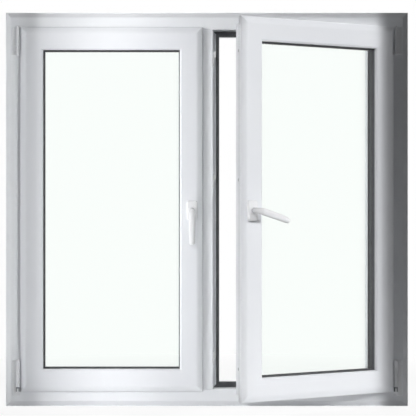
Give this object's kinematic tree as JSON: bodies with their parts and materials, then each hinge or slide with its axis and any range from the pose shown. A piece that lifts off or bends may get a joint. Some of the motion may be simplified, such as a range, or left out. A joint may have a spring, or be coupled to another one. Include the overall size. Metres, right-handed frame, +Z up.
{
  "type": "casement window",
  "caption": "White plastic casement window with inward-opening double-glazed sashes either side of a mullion, lever handles, sliding locks and barrel hinges.",
  "frame": {"origin": "middle of the frame's bottom face, halfway through its depth", "axes": "+X to the right seen from the room, +Y to the outside, +Z up"},
  "size_m": [1.165, 0.3846, 1.14],
  "materials": {
    "white_frame": "smooth white PVC, satin gloss",
    "white_sash": "smooth white PVC, satin gloss",
    "white_handle": "white powder-coated die casting",
    "white_hinge": "white coated steel",
    "clear_glass": "clear float glass, slightly green",
    "black_seal": "matt black EPDM",
    "grey_spacer": "dark coated spacer bar with breathing holes",
    "grey_plastic": "moulded plastic",
    "galvanised_steel": "galvanised steel",
    "zinc_hardware": "bright zinc plated"
  },
  "bodies": {
    "frame": {"frame_sill": "white_frame", "frame_head": "white_frame", "frame_left_jamb": "white_frame", "frame_right_jamb": "white_frame", "mullion": "white_frame", "frame_reinforcement": "galvanised_steel", "mullion_connectors": "grey_plastic", "left_rebate_seal": "black_seal", "right_rebate_seal": "black_seal", "lock_keeps": "zinc_hardware", "hardware_screws": "zinc_hardware", "bottom_hinge_brackets": "white_hinge", "top_hinge_brackets": "white_hinge", "hinge_pins": "galvanised_steel"},
    "left_sash": {"left_bottom_rail": "white_sash", "left_top_rail": "white_sash", "left_hinge_stile": "white_sash", "left_lock_stile": "white_sash", "left_reinforcement": "galvanised_steel", "left_outer_pane": "clear_glass", "left_inner_pane": "clear_glass", "left_spacer_bar": "grey_spacer", "left_glazing_beads": "white_sash", "left_glazing_seals": "black_seal", "left_setting_blocks": "grey_plastic", "left_flange_seal": "black_seal", "left_lock_faceplate": "zinc_hardware", "left_gear_case": "zinc_hardware", "left_handle_rose": "white_handle", "left_rose_studs": "galvanised_steel", "left_bottom_hinge_leaf": "white_hinge", "left_top_hinge_leaf": "white_hinge"},
    "left_handle": {"left_handle_lever": "white_handle", "left_handle_spindle": "galvanised_steel", "left_drive_pinion": "galvanised_steel"},
    "left_drive": {"left_drive_rod": "zinc_hardware", "left_locking_cams": "galvanised_steel"},
    "right_sash": {"right_bottom_rail": "white_sash", "right_top_rail": "white_sash", "right_hinge_stile": "white_sash", "right_lock_stile": "white_sash", "right_reinforcement": "galvanised_steel", "right_outer_pane": "clear_glass", "right_inner_pane": "clear_glass", "right_spacer_bar": "grey_spacer", "right_glazing_beads": "white_sash", "right_glazing_seals": "black_seal", "right_setting_blocks": "grey_plastic", "right_flange_seal": "black_seal", "right_lock_faceplate": "zinc_hardware", "right_gear_case": "zinc_hardware", "right_handle_rose": "white_handle", "right_rose_studs": "galvanised_steel", "right_bottom_hinge_leaf": "white_hinge", "right_top_hinge_leaf": "white_hinge"},
    "right_handle": {"right_handle_lever": "white_handle", "right_handle_spindle": "galvanised_steel", "right_drive_pinion": "galvanised_steel"},
    "right_drive": {"right_drive_rod": "zinc_hardware", "right_locking_cams": "galvanised_steel"}
  },
  "joints": [
    {"name": "left_sash_swing", "type": "hinge", "parent": "frame", "child": "left_sash", "pos_m": [-0.545, -0.044, 0.57], "axis": [0, 0, -1], "range_deg": [0, 100]},
    {"name": "right_sash_swing", "type": "hinge", "parent": "frame", "child": "right_sash", "pos_m": [0.545, -0.044, 0.57], "axis": [0, 0, 1], "range_deg": [-32, 68]},
    {"name": "left_handle_turn", "type": "hinge", "parent": "left_sash", "child": "left_handle", "pos_m": [-0.0422, -0.05, 0.567], "axis": [0, 1, 0], "range_deg": [0, 90]},
    {"name": "right_handle_turn", "type": "hinge", "parent": "right_sash", "child": "right_handle", "pos_m": [0.12178, -0.31553, 0.567], "axis": [0.5299, -0.848, 0], "range_deg": [-73, 17]},
    {"name": "left_lock_slide", "type": "slide", "parent": "left_sash", "child": "left_drive", "axis": [0, 0, -1], "range_m": [0, 0.01296]},
    {"name": "right_lock_slide", "type": "slide", "parent": "right_sash", "child": "right_drive", "axis": [0, 0, -1], "range_m": [-0.01051, 0.00245]}
  ],
  "couplings": [
    {"joint": "left_lock_slide", "follows": "left_handle_turn", "m_per_rad": 0.00825},
    {"joint": "right_lock_slide", "follows": "right_handle_turn", "m_per_rad": 0.00825}
  ]
}
